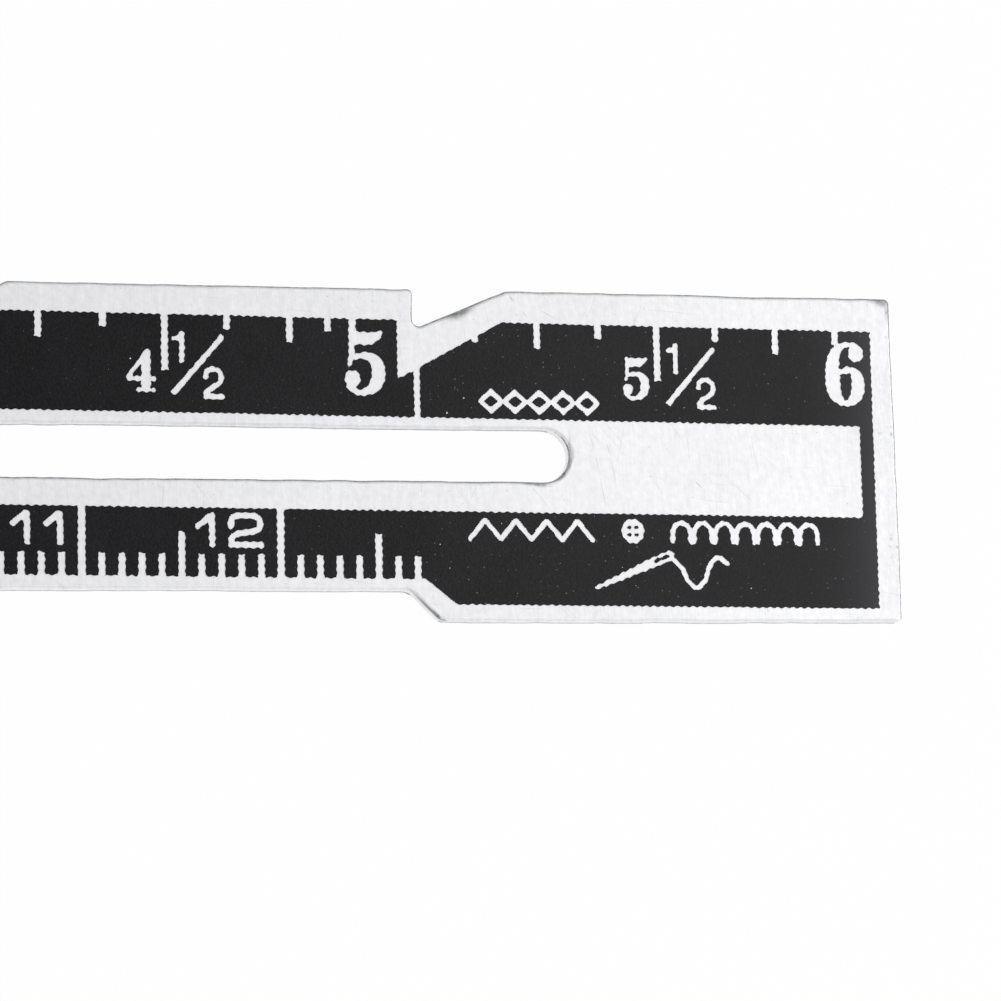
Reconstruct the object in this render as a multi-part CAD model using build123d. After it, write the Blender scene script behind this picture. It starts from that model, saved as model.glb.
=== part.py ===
from build123d import *
import os

# Sewing gauge: a punched aluminium strip with screen-printed inch and centimetre scales,
# and a two-piece plastic slider that is staked together through the long slot.
# Everything is in millimetres. X runs along the strip, Y across it and Z up.
# Places along the strip are counted from its zero end, where both scales start.

# Strip blank
strip_length = 152.4
strip_width = 17.0
strip_thickness = 0.8
corner_radius = 0.3
edge_roll = 0.14

# Saw-tooth notches in the inch edge, one at each whole inch
inch_pitch = 25.4
notch_depth = 2.08
notch_run = 4.87
notch_root_radius = 0.35
notch_crest_radius = 0.25
ramp_crest_radius = 0.5

# Relief along the centimetre edge, from the zero end to the wide end
relief_depth = 1.55
relief_slope_run = 1.55
wide_end_length = 25.9
relief_root_radius = 0.9
relief_crest_radius = 0.45

# Slot for the slider, on the strip's centre line
slot_width = 2.7
slot_start = 6.35
slot_end_margin = 17.45

# Printed scales: a film of black ink, which lies a little askew on the strip
print_thickness = 0.03
print_skew_angle = -0.386
print_end_margin = 1.2
end_bar_width = 0.7

# Bare metal between the ink and the strip's edges, and between the ink and the slot
inch_edge_margin = 0.78
inch_slot_margin = 1.39
centimetre_edge_margin = 1.44
centimetre_slot_margin = 0.7
wide_edge_margin = 1.73
step_ink_gap = 0.92
step_ink_run = 1.55

# Bare metal round each notch, and bare lines and ticks in the ink
notch_border_wall = 0.88
notch_border_run = 4.55
inch_line_width = 0.31
inch_tick_width = 0.35
odd_tick_lead = 4.49
centimetre_pitch = 10.0
centimetre_line_width = 0.37
millimetre_tick_width = 0.35
ticks_per_centimetre = 10
ticks_per_half_centimetre = 5

# How far ticks and notch borders reach across their band, as shares of its height
eighth_tick_share = 0.143
quarter_tick_share = 0.262
half_tick_share = 0.575
notch_border_share = 0.612
millimetre_tick_share = 0.334
five_tick_share = 0.654

# Slider: where its straight reading edge stands at rest, and its fits on the strip
reading_at_rest = 50.8
slide_gap = 0.06
side_gap = 0.05

# Slider pointer, the front half
pointer_overhang = 1.7
pointer_length = 12.4
pointer_thickness = 1.5
pointer_body_width = 9.6
arm_root_width = 4.6
arm_tip_land = 0.65
arm_root_radius = 2.2
arm_tip_radius = 0.7
body_corner_radius = 1.6
reading_land = 0.45
reading_bevel_run = 1.25
pointer_edge_radius = 0.2

# Thumb pad and its ribs, on top of the pointer
pad_length = 8.6
pad_width = 6.4
pad_height = 0.8
pad_corner_radius = 1.2
pad_edge_radius = 0.35
rib_count = 5
rib_pitch = 1.6
rib_width = 0.75
rib_height = 0.5
rib_end_margin = 0.55
rib_edge_radius = 0.24

# Guide block in the slot, and the two pegs that are staked below it
block_margin = 0.6
peg_radius = 0.8
peg_spacing = 6.6
peg_hole_gap = 0.03
peg_head_radius = 1.25
peg_head_thickness = 0.4
peg_head_gap = 0.05
peg_head_chamfer = 0.12

# Back plate of the slider
plate_thickness = 1.1
plate_edge_radius = 0.25

# How far cuts reach past the faces that they open, and how near a point counts as the same
overrun = 1.0
same_place = 0.001

# Heights: the back plate's underside stands at zero
strip_back = plate_thickness + slide_gap
strip_front = strip_back + strip_thickness
print_front = strip_front + print_thickness
pointer_back = print_front + slide_gap
pointer_front = pointer_back + pointer_thickness
pad_front = pointer_front + pad_height

# Edges of the strip
zero_end = -strip_length / 2
half_width = strip_width / 2
relief_low = relief_depth - half_width
relief_length = strip_length - wide_end_length
relief_end = relief_length + relief_slope_run
slot_end = strip_length - slot_end_margin

# Edges of the ink, as they stand at the zero end
inch_band_high = half_width - inch_edge_margin
inch_band_low = slot_width / 2 + inch_slot_margin
centimetre_band_high = -slot_width / 2 - centimetre_slot_margin
centimetre_band_low = relief_low + centimetre_edge_margin
wide_band_low = wide_edge_margin - half_width
inch_band_height = inch_band_high - inch_band_low
centimetre_band_height = centimetre_band_high - centimetre_band_low
ink_end = strip_length - print_end_margin
step_ink_start = relief_length + step_ink_gap
step_ink_end = step_ink_start + step_ink_run

# Marks that fall on the strip
notch_count = int((ink_end - notch_run) / inch_pitch)
last_inch = notch_count * inch_pitch
odd_tick_place = last_inch - odd_tick_lead
millimetre_pitch = centimetre_pitch / ticks_per_centimetre
last_centimetre = int(step_ink_start / centimetre_pitch) * centimetre_pitch


def raised(outline, bottom, top):
    """A flat outline made solid between two heights."""
    return extrude(Pos(0, 0, bottom) * outline, amount=top - bottom)


def box_between(low_x, low_y, high_x, high_y):
    """A flat rectangle given by two opposite corners."""
    return Pos(low_x, low_y) * Rectangle(high_x - low_x, high_y - low_y, align=(Align.MIN, Align.MIN))


def points_at(outline, places):
    """The corner points of an outline that stand at the given places."""
    wanted = [Vector(*place) for place in places]
    return [v for v in outline.vertices() if any((Vector(v) - w).length < same_place for w in wanted)]


def top_edges(shape):
    """The edges round the highest face of a shape."""
    return shape.faces().sort_by(Axis.Z)[-1].edges()


def bottom_edges(shape):
    """The edges round the lowest face of a shape."""
    return shape.faces().sort_by(Axis.Z)[0].edges()


# The strip


def strip_outline():
    """The blank with its notches and its relief, before the slot is punched."""
    zero_corners = [(0, half_width), (0, relief_low)]
    relief_root, relief_crest = (relief_length, relief_low), (relief_end, -half_width)
    wide_corners = [(strip_length, -half_width), (strip_length, half_width)]
    crests, roots, ramp_ends, notches = [], [], [], []
    for n in range(notch_count, 0, -1):
        wall = n * inch_pitch
        crests.append((wall, half_width))
        roots.append((wall, half_width - notch_depth))
        ramp_ends.append((wall + notch_run, half_width))
        notches += [ramp_ends[-1], roots[-1], crests[-1]]
    outline = Polygon(*zero_corners, relief_root, relief_crest, *wide_corners, *notches, align=None)
    outline = fillet(points_at(outline, zero_corners + wide_corners), corner_radius)
    outline = fillet(points_at(outline, [relief_root]), relief_root_radius)
    outline = fillet(points_at(outline, [relief_crest]), relief_crest_radius)
    outline = fillet(points_at(outline, crests), notch_crest_radius)
    outline = fillet(points_at(outline, roots), notch_root_radius)
    return fillet(points_at(outline, ramp_ends), ramp_crest_radius)


def slot_outline():
    """The long round-ended slot."""
    middle = (slot_start + slot_end) / 2
    return Pos(middle, 0) * SlotOverall(slot_end - slot_start, slot_width)


def make_strip():
    """The punched strip, with the soft edge that the punch leaves on its front."""
    blank = raised(strip_outline() - slot_outline(), strip_back, strip_front)
    blank = fillet(top_edges(blank), edge_roll)
    return Pos(zero_end, 0, 0) * blank


# The printed scales


def inked(outline):
    """A printed outline as a film of ink on the strip, askew as the print lies."""
    film = raised(outline, strip_front, print_front)
    return Pos(zero_end, 0, 0) * (Rot(0, 0, print_skew_angle) * film)


def tick_down(place, share):
    """A bare tick that hangs from the inch band's upper edge."""
    half = inch_tick_width / 2
    low = inch_band_high - share * inch_band_height
    return box_between(place - half, low, place + half, inch_band_high + overrun)


def inch_ticks(start):
    """The seven bare ticks of the inch that starts at the given place."""
    half_inch_shares = [eighth_tick_share, quarter_tick_share, eighth_tick_share]
    shares = half_inch_shares + [half_tick_share] + half_inch_shares
    eighth = inch_pitch / (len(shares) + 1)
    return [tick_down(start + (k + 1) * eighth, share) for k, share in enumerate(shares)]


def notch_border(wall):
    """The bare metal that the print leaves round the notch at the given place."""
    left = wall - notch_border_wall
    right = wall + notch_border_run
    depth = notch_border_share * inch_band_height
    top = inch_band_high + overrun
    points = [(left, top), (left, inch_band_high - depth)]
    points.append((right + overrun * (right - left) / depth, top))
    return Polygon(*points, align=None)


def inch_line(wall):
    """The bare line across the inch band at a whole inch."""
    half = inch_line_width / 2
    return box_between(wall - half, inch_band_low - overrun, wall + half, inch_band_high)


def inch_band():
    """The ink of the inch band, with its ticks, lines and notch borders left bare."""
    band = box_between(print_end_margin, inch_band_low, ink_end, inch_band_high)
    band -= inch_ticks(0)
    for n in range(1, notch_count + 1):
        wall = n * inch_pitch
        band -= inch_ticks(wall) + [notch_border(wall), inch_line(wall)]
    return band - tick_down(odd_tick_place, eighth_tick_share)


def centimetre_tick(n):
    """A bare tick that rises from the centimetre band's lower edge, or a whole centimetre's line."""
    place = n * millimetre_pitch
    half = millimetre_tick_width / 2
    high = centimetre_band_low + millimetre_tick_share * centimetre_band_height
    if n % ticks_per_centimetre == 0:
        half = centimetre_line_width / 2
        high = centimetre_band_high + overrun
    elif n % ticks_per_half_centimetre == 0:
        high = centimetre_band_low + five_tick_share * centimetre_band_height
    return box_between(place - half, centimetre_band_low - overrun, place + half, high)


def lower_band():
    """The ink below the slot: narrow along the relief, wide past it, with its ticks left bare."""
    points = [(print_end_margin, centimetre_band_high), (print_end_margin, centimetre_band_low)]
    points += [(step_ink_start, centimetre_band_low), (step_ink_end, wide_band_low)]
    points += [(ink_end, wide_band_low), (ink_end, centimetre_band_high)]
    last_tick = int(step_ink_start / millimetre_pitch)
    return Polygon(*points, align=None) - [centimetre_tick(n) for n in range(1, last_tick + 1)]


def between(band, start, stop):
    """The part of a band between two places along the strip."""
    return band & box_between(start, -half_width, stop, half_width)


def end_bar(start):
    """The ink that joins both bands at an end of the strip."""
    return box_between(start, centimetre_band_high, start + end_bar_width, inch_band_low)


def make_prints():
    """The printed areas: the zero end, the inch cells, the centimetre cells and the wide end."""
    upper = inch_band()
    lower = lower_band()
    zero_end_ink = between(upper, 0, inch_pitch) + between(lower, 0, centimetre_pitch)
    zero_end_ink += end_bar(print_end_margin)
    wide_end_ink = between(upper, last_inch, strip_length) + between(lower, last_centimetre, strip_length)
    wide_end_ink += end_bar(ink_end - end_bar_width)
    return {
        "zero_end_print": inked(zero_end_ink),
        "inch_scale_print": inked(between(upper, inch_pitch, last_inch)),
        "centimetre_scale_print": inked(between(lower, centimetre_pitch, last_centimetre)),
        "wide_end_print": inked(wide_end_ink),
    }


# The slider


def pointer_outline():
    """The pointer from the front: a straight reading edge, a body and two tapered arms."""
    reach = half_width + pointer_overhang
    body = pointer_body_width / 2
    tip_width = reading_bevel_run + arm_tip_land
    tips = [(tip_width, -reach), (tip_width, reach)]
    roots = [(arm_root_width, -body), (arm_root_width, body)]
    corners = [(pointer_length, -body), (pointer_length, body)]
    lower_side = [(0, -reach), tips[0], roots[0], corners[0]]
    upper_side = [corners[1], roots[1], tips[1], (0, reach)]
    outline = Polygon(*lower_side, *upper_side, align=None)
    outline = fillet(points_at(outline, roots), arm_root_radius)
    outline = fillet(points_at(outline, corners), body_corner_radius)
    return fillet(points_at(outline, tips), arm_tip_radius)


def pointer_section():
    """The pointer's section along the strip, with the bevel down to its reading edge."""
    reach = half_width + pointer_overhang + overrun
    points = [(0, pointer_back), (pointer_length, pointer_back), (pointer_length, pointer_front)]
    points += [(reading_bevel_run, pointer_front), (0, pointer_back + reading_land)]
    return extrude(Plane.XZ * Polygon(*points, align=None), amount=reach, both=True)


def thumb_pad():
    """The raised pad with its grip ribs, in the middle of the pointer's flat top."""
    pad = raised(RectangleRounded(pad_length, pad_width, pad_corner_radius), pointer_front, pad_front)
    pad = fillet(top_edges(pad), pad_edge_radius)
    rib_outline = Rot(0, 0, 90) * SlotOverall(pad_width - 2 * rib_end_margin, rib_width)
    rib = raised(rib_outline, pointer_front, pad_front + rib_height)
    rib = fillet(top_edges(rib), rib_edge_radius)
    for k in range(rib_count):
        pad += Pos((k - (rib_count - 1) / 2) * rib_pitch, 0, 0) * rib
    return Pos((pointer_length + reading_bevel_run) / 2, 0, 0) * pad


def guide_block():
    """The block that runs in the slot and spaces the two halves of the slider."""
    length = pointer_length - 2 * block_margin
    width = slot_width - 2 * side_gap
    return Pos(pointer_length / 2, 0) * raised(SlotOverall(length, width), plate_thickness, pointer_back)


def peg_places():
    """The two pegs, along the slider from its reading edge."""
    return [(pointer_length - peg_spacing) / 2, (pointer_length + peg_spacing) / 2]


def staked_peg(place):
    """A peg with the flat head that is formed on it once the halves are together."""
    shank = raised(Circle(peg_radius), peg_head_gap, strip_front)
    head = raised(Circle(peg_head_radius), peg_head_gap, peg_head_gap + peg_head_thickness)
    head = chamfer(bottom_edges(head), peg_head_chamfer)
    return Pos(place, 0, 0) * (shank + head)


def make_pointer():
    """The front half of the slider, with its guide block and staked pegs."""
    pointer = raised(pointer_outline(), pointer_back, pointer_front) & pointer_section()
    pointer = fillet(top_edges(pointer), pointer_edge_radius)
    pointer += [thumb_pad(), guide_block()]
    pointer += [staked_peg(place) for place in peg_places()]
    return Pos(zero_end + reading_at_rest, 0, 0) * pointer


def make_back_plate():
    """The back half of the slider, with a counterbored hole for each peg."""
    outline = RectangleRounded(pointer_length, pointer_body_width, body_corner_radius)
    plate = raised(outline, 0, plate_thickness)
    plate = Pos(pointer_length / 2, 0, 0) * fillet(bottom_edges(plate), plate_edge_radius)
    seat = peg_head_gap + peg_head_thickness
    hole = raised(Circle(peg_radius + peg_hole_gap), -overrun, plate_thickness + overrun)
    counterbore = raised(Circle(peg_head_radius + peg_head_gap), -overrun, seat)
    for place in peg_places():
        plate -= Pos(place, 0, 0) * (hole + counterbore)
    return Pos(zero_end + reading_at_rest, 0, 0) * plate


parts = {"strip": make_strip(), **make_prints()}
parts["slider_pointer"] = make_pointer()
parts["slider_back_plate"] = make_back_plate()

os.makedirs("parts", exist_ok=True)
for name, shape in parts.items():
    export_step(shape, f"parts/{name}.step")
    print(name, "solids", len(shape.solids()), "volume", round(shape.volume, 2))
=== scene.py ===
import math
import random

import bpy
import numpy as np
from mathutils import Matrix, Vector, noise
from mathutils.geometry import delaunay_2d_cdt


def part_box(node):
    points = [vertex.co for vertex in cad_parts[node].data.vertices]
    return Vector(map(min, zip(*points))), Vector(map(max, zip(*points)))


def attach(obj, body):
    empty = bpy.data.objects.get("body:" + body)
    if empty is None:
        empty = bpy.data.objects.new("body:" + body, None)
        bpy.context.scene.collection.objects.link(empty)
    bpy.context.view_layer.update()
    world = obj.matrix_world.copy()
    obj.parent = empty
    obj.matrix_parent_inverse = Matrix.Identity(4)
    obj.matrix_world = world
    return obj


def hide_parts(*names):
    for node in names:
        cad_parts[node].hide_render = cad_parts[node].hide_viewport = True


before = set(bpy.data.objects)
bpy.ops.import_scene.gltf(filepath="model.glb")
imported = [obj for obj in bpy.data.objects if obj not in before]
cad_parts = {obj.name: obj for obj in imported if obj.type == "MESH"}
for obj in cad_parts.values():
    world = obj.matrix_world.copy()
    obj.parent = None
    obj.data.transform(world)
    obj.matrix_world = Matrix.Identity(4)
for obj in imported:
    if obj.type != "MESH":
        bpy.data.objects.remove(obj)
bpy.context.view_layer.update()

# Strip
# One blank of soft aluminium sheet, punched out in a stroke with its notches, relief and slot.
# The punch leaves a soft roll round the front edge, a torn grey wall and slightly wavy outlines.
MM = 0.001
scene = bpy.context.scene
strip_low, strip_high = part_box("strip")
ZERO_END = strip_low.x
STRIP_BACK = strip_low.z
STRIP_FRONT = strip_high.z
LENGTH_MM = (strip_high.x - strip_low.x) / MM
HALF_WIDTH_MM = (strip_high.y - strip_low.y) / MM / 2
THICKNESS_MM = (STRIP_FRONT - STRIP_BACK) / MM

INCH_MM = 25.4
WHOLE_INCHES = 5
CORNER_MM = 0.3
NOTCH_DEPTH_MM = 2.08
NOTCH_RUN_MM = 4.87
NOTCH_ROOT_MM = 0.35
NOTCH_CREST_MM = 0.25
RAMP_CREST_MM = 0.5
RELIEF_MM = 1.55
RELIEF_END_MM = 126.5
RELIEF_SLOPE_MM = 1.55
RELIEF_ROOT_MM = 0.9
RELIEF_CREST_MM = 0.45
SLOT_RADIUS_MM = 1.35
SLOT_START_MM = 6.35
SLOT_END_MM = 134.95
SLOT_ARC_SHARE = 0.999

EDGE_STEP_MM = 0.16
ARC_STEP = math.radians(12)
SAME_PLACE_MM = 1e-9

# The waves in the outline as sizes and lengths, the roll on the front, and the wall that tears inward
# behind it and ends in a burr. The seeds set where they swell and shrink.
WAVES_MM = [(0.07, 5.0), (0.05, 1.2)]
ROLL_WIDTH_MM = 0.19
ROLL_DEPTH_MM = 0.13
ROLL_UNEVEN = 0.25
ROLL_UNEVEN_SIZE_MM = 1.1
ROLL_STEPS = 5
WALL_STEPS = 4
TEAR_MM = 0.012
TEAR_SIZE_MM = 0.25
TEAR_RUN_SHARE = 0.1
BURR_MM = 0.03
WAVE_SEED, ROLL_SEED, TEAR_SEED = 1.3, 7.7, 4.1

# The edges that face this way, towards the light, all but the slot's end, have a taller burnished zone
# and keep the bright front material over their whole roll and that zone, as painted light; the others tear
# early.
LIT_SIDE = (-0.35, -0.94)
LIT_LIMIT = 0.5
SQUARE_LIMIT = 0.7
SLOPE_LIMIT = 0.4
SQUARE_ROLL_SHARE = 0.6
LIT_SIDE_BURNISHED_SHARE = 0.5
DARK_SIDE_BURNISHED_SHARE = 0.3

# The faces of the mesh are flat, bright as the front, or torn and shaded. The dark torn material is the
# real torn wall, and on the outer steps of the roll and on the edges that face away from the light it is
# painted shade. The first two steps of the roll are bright, and so are more of them on the slot's end above
# these heights, as painted light.
FLAT, BRIGHT, TORN_AND_SHADED = 0, 1, 2
BRIGHT_STEPS = 2
SLOT_END_BRIGHT_MM = {3: -0.5, 4: 1.0}
SLOT_SIDE_SHARE = 0.9
SLOT_END_SHARE = 0.97

# Knocks that have bent the edge over, on the ramp of the last notch, at a corner of the wide end and
# at the slot's end: the place, the radius, and how much wider and deeper they make the roll.
KNOCKS_MM = [((129.3, 7.4), 0.6, 0.2, 0.07), ((151.9, 8.3), 0.8, 0.12, 0.06),
             ((134.95, 0.2), 0.35, 0.12, 0.04)]


def rounded(corners):
    """A closed outline through (x, y, radius) corners, as evenly spaced points with true arcs."""
    points = []
    for k, (x, y, radius) in enumerate(corners):
        here = np.array((x, y))
        back = np.array(corners[k - 1][:2]) - here
        ahead = np.array(corners[(k + 1) % len(corners)][:2]) - here
        back, ahead = back / np.linalg.norm(back), ahead / np.linalg.norm(ahead)
        half = math.acos(float(np.clip(back @ ahead, -1, 1))) / 2
        middle = here + (back + ahead) / np.linalg.norm(back + ahead) * radius / math.sin(half)
        first = here + back * radius / math.tan(half)
        last = here + ahead * radius / math.tan(half)
        start = math.atan2(*(first - middle)[::-1])
        turn = math.atan2(*(last - middle)[::-1]) - start
        turn = (turn + math.pi) % math.tau - math.pi
        steps = max(3, round(abs(turn) / ARC_STEP))
        for s in range(steps + 1):
            angle = start + turn * s / steps
            points.append(middle + radius * np.array((math.cos(angle), math.sin(angle))))
    return evenly(np.array(points), EDGE_STEP_MM)


def evenly(points, step):
    """A closed outline with each long run divided into steps."""
    out = []
    for here, there in zip(points, np.roll(points, -1, axis=0)):
        parts = max(1, round(float(np.linalg.norm(there - here)) / step))
        out += [here + (there - here) * s / parts for s in range(parts)]
    return np.array(out)


def inward(points):
    """Unit normals of a closed outline, to the left of its direction."""
    run = np.roll(points, -1, axis=0) - np.roll(points, 1, axis=0)
    run /= np.linalg.norm(run, axis=1)[:, None]
    return np.column_stack((-run[:, 1], run[:, 0]))


def inside(loops, spots):
    """Which spots lie within an odd number of closed loops."""
    hits = np.zeros(len(spots), dtype=int)
    x, y = spots[:, 0][:, None], spots[:, 1][:, None]
    for loop in loops:
        ax, ay = loop[:, 0], loop[:, 1]
        bx, by = np.roll(ax, -1), np.roll(ay, -1)
        spans = (ay > y) != (by > y)
        crossing = ax + (y - ay) / np.where(by == ay, 1, by - ay) * (bx - ax)
        hits += (spans & (crossing > x)).sum(axis=1)
    return hits % 2 == 1


def fill(loops):
    """Triangles between closed loops, as indices into all the loops' points in a row."""
    points = np.concatenate(loops)
    edges, start = [], 0
    for loop in loops:
        count = len(loop)
        edges += [(start + k, start + (k + 1) % count) for k in range(count)]
        start += count
    flat = [Vector(p) for p in points]
    _, _, faces, origin, _, _ = delaunay_2d_cdt(flat, edges, [], 0, SAME_PLACE_MM)
    back = [source[0] for source in origin]
    triangles = np.array([[back[i] for i in face] for face in faces])
    wanted = inside(loops, points[triangles].mean(axis=1))
    return triangles[wanted].tolist()


def add_piece(name, vertices_mm, faces, body, node):
    """A mesh in place, riding on its body and standing for its CAD node."""
    mesh = bpy.data.meshes.new(name)
    mesh.from_pydata([Vector(v) * MM for v in vertices_mm], [], faces)
    mesh.validate()
    mesh.update()
    piece = bpy.data.objects.new(name, mesh)
    scene.collection.objects.link(piece)
    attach(piece, body)
    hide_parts(node)
    return piece


def strip_corners():
    """The strip's outline, anticlockwise from the zero end's lower corner."""
    relief_low = RELIEF_MM - HALF_WIDTH_MM
    corners = [(0, relief_low, CORNER_MM), (RELIEF_END_MM, relief_low, RELIEF_ROOT_MM)]
    corners.append((RELIEF_END_MM + RELIEF_SLOPE_MM, -HALF_WIDTH_MM, RELIEF_CREST_MM))
    corners += [(LENGTH_MM, -HALF_WIDTH_MM, CORNER_MM), (LENGTH_MM, HALF_WIDTH_MM, CORNER_MM)]
    for n in range(WHOLE_INCHES, 0, -1):
        wall = n * INCH_MM
        corners.append((wall + NOTCH_RUN_MM, HALF_WIDTH_MM, RAMP_CREST_MM))
        corners.append((wall, HALF_WIDTH_MM - NOTCH_DEPTH_MM, NOTCH_ROOT_MM))
        corners.append((wall, HALF_WIDTH_MM, NOTCH_CREST_MM))
    corners.append((0, HALF_WIDTH_MM, CORNER_MM))
    return corners


def slot_corners():
    """The slot's outline, clockwise, with the metal on its left and its arcs a hair apart."""
    r = SLOT_RADIUS_MM * SLOT_ARC_SHARE
    return [(SLOT_START_MM, SLOT_RADIUS_MM, r), (SLOT_END_MM, SLOT_RADIUS_MM, r),
            (SLOT_END_MM, -SLOT_RADIUS_MM, r), (SLOT_START_MM, -SLOT_RADIUS_MM, r)]


def ripple(points, size, seed):
    """Smooth noise from 0 to 1 at each point, with features of the given size."""
    return np.array([0.5 + 0.5 * noise.noise(Vector((x / size, y / size, seed))) for x, y in points])


def knocked(points, place, radius):
    """How far each point lies in a knock, from 0 to 1."""
    return np.exp(-(np.linalg.norm(points - place, axis=1) / radius) ** 2)


def burnished(points):
    """Which points of an outline face the light, leaving out the slot's end."""
    faces_it = inward(points) @ LIT_SIDE < -LIT_LIMIT
    return faces_it & (np.abs(points[:, 1]) > SLOT_SIDE_SHARE * SLOT_RADIUS_MM)


def edge_kinds(points):
    """Whether the faces between two rings of the edge are bright or torn and shaded, at each point,
    with painted light on edges towards the light and painted shade on the roll and on edges facing away.
    """
    # Dark by default: the torn wall, and painted shade on the outer steps of the roll.
    kinds = np.full((ROLL_STEPS + WALL_STEPS, len(points)), TORN_AND_SHADED)
    kinds[:BRIGHT_STEPS] = BRIGHT
    # Walls that face the wide end, away from the light, are dark from the second step of the roll on:
    # painted shade.
    kinds[1:, inward(points)[:, 0] < -SQUARE_LIMIT] = TORN_AND_SHADED
    # Edges that face the light are bright over the roll and the burnished zone: painted light.
    kinds[:ROLL_STEPS + 1, burnished(points)] = BRIGHT
    from_tip, height = np.abs(points[:, 0] - SLOT_END_MM), points[:, 1]
    slot_end = (from_tip < SLOT_RADIUS_MM) & (np.abs(height) < SLOT_END_SHARE * SLOT_RADIUS_MM)
    relief_slope = inward(points).min(axis=1) > SLOPE_LIMIT
    # The walls of the slot's end and of the relief's slope face the light and are bright, as are more roll
    # steps on the slot's end: painted light.
    kinds[ROLL_STEPS:-1, slot_end | relief_slope] = BRIGHT
    for steps, low in SLOT_END_BRIGHT_MM.items():
        kinds[:steps, slot_end & (height > low)] = BRIGHT
    return kinds


def edge_rings(points):
    """The strip's section along one edge: rings from the flat of the front over the roll to the back."""
    normals = inward(points)
    wave = np.zeros(len(points))
    for size, length in WAVES_MM:
        wave += size * np.clip(2 * ripple(points, length, WAVE_SEED) - 1, 0, 1)
    swell = 1 + ROLL_UNEVEN * (2 * ripple(points, ROLL_UNEVEN_SIZE_MM, ROLL_SEED) - 1)
    tear = TEAR_MM * ripple(points, TEAR_SIZE_MM, TEAR_SEED)
    width, depth = ROLL_WIDTH_MM * swell, ROLL_DEPTH_MM * swell
    width[normals[:, 0] < -SQUARE_LIMIT] *= SQUARE_ROLL_SHARE
    for place, radius, wider, deeper in KNOCKS_MM:
        width += wider * knocked(points, place, radius)
        depth += deeper * knocked(points, place, radius)
    rings = []
    for step in range(ROLL_STEPS + 1):
        turn = math.pi / 2 * step / ROLL_STEPS
        rings.append((wave + width * (1 - math.sin(turn)), depth * (1 - math.cos(turn))))
    share = np.where(burnished(points), LIT_SIDE_BURNISHED_SHARE, DARK_SIDE_BURNISHED_SHARE)
    torn_from = depth + (THICKNESS_MM - depth) * share
    back = np.full(len(points), THICKNESS_MM)
    rings.append((wave, torn_from))
    rings.append((wave + tear, torn_from + THICKNESS_MM * TEAR_RUN_SHARE))
    rings.append((wave + tear, back - BURR_MM))
    rings.append((wave + tear + BURR_MM, back))
    return [(points + normals * inset[:, None], drop) for inset, drop in rings]


def make_strip():
    """The strip's mesh: flat front and back, rolled front edges, and a wall with a smoothly sheared zone
    above a torn one.
    """
    vertices, faces, kinds = [], [], []
    fronts, backs, front_index, back_index = [], [], [], []
    for outline in (rounded(strip_corners()), rounded(slot_corners())):
        rings = edge_rings(outline)
        edge = edge_kinds(outline)
        count, start = len(outline), len(vertices)
        for flat, drop in rings:
            vertices += [(ZERO_END / MM + x, y, STRIP_FRONT / MM - d) for (x, y), d in zip(flat, drop)]
        for r in range(len(rings) - 1):
            for k in range(count):
                a, b = start + r * count + k, start + r * count + (k + 1) % count
                faces.append((a, a + count, b + count, b))
                kinds.append(int(edge[r, k]))
        fronts.append(rings[0][0])
        backs.append(rings[-1][0])
        front_index += range(start, start + count)
        back_index += range(start + (len(rings) - 1) * count, start + len(rings) * count)
    for triangle in fill(fronts):
        faces.append([front_index[i] for i in triangle])
        kinds.append(FLAT)
    for triangle in fill(backs):
        faces.append([back_index[i] for i in reversed(triangle)])
        kinds.append(FLAT)
    piece = add_piece("punched_strip", vertices, faces, "gauge_strip", "strip")
    for face, kind in zip(piece.data.polygons, kinds):
        # Faces of the torn kind take the dark sheared material: the real torn wall, and painted shade on
        # the outer roll and on edges facing away from the light.
        face.material_index = int(kind == TORN_AND_SHADED)
        face.use_smooth = kind != FLAT
    return piece


def colour(hex_code):
    """An sRGB hex colour as linear RGBA."""
    channels = [int(hex_code[i:i + 2], 16) / 255 for i in (1, 3, 5)]
    return [c / 12.92 if c <= 0.04045 else ((c + 0.055) / 1.055) ** 2.4 for c in channels] + [1.0]


def add(tree, kind, inputs=None, **settings):
    """One shader node with its settings, its values and its links."""
    node = tree.nodes.new("ShaderNode" + kind)
    for key, value in settings.items():
        setattr(node, key, value)
    for key, value in (inputs or {}).items():
        if isinstance(value, bpy.types.NodeSocket):
            tree.links.new(value, node.inputs[key])
        else:
            node.inputs[key].default_value = value
    return node


def new_material(name):
    """A material with an empty node tree."""
    material = bpy.data.materials.new(name)
    material.use_nodes = True
    material.node_tree.nodes.clear()
    return material, material.node_tree


def shade(tree, values):
    """Gives a material one Principled shader, with its plain values set on its own sockets."""
    shader = add(tree, "BsdfPrincipled", values)
    add(tree, "OutputMaterial", {"Surface": shader.outputs["BSDF"]})


GRAIN_MM = (0.09, 1.3, 1.0)
BAND_MM = (0.4, 5.0, 1.0)
MOTTLE_MM = (0.3, 0.42, 1.0)
HANDLING_MM = (9.0, 9.0, 9.0)
PIT_SPACING_MM = (0.75, 0.75, 1.0)
PIT_SHARE = 0.073
HAIRLINE_MM = (0.34, 17.0, 1.0)
HAIRLINE_SHARE = 0.11
HAIRLINE_TURNS = (0.06, -0.3, 0.7, 1.5)
NICK_GLINT_MM = (0.5, 2.2, 1.0)
NICK_GLINT_SHARE = 0.07
NICK_GLINT_TURNS = (-0.9, 1.1)
BEND_MM = 2.8
SOILED_MM = 1.4
SOIL_MM = (0.32, 0.32, 0.32)
SOIL_PATCH_MM = (1.9, 1.9, 1.9)
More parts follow.
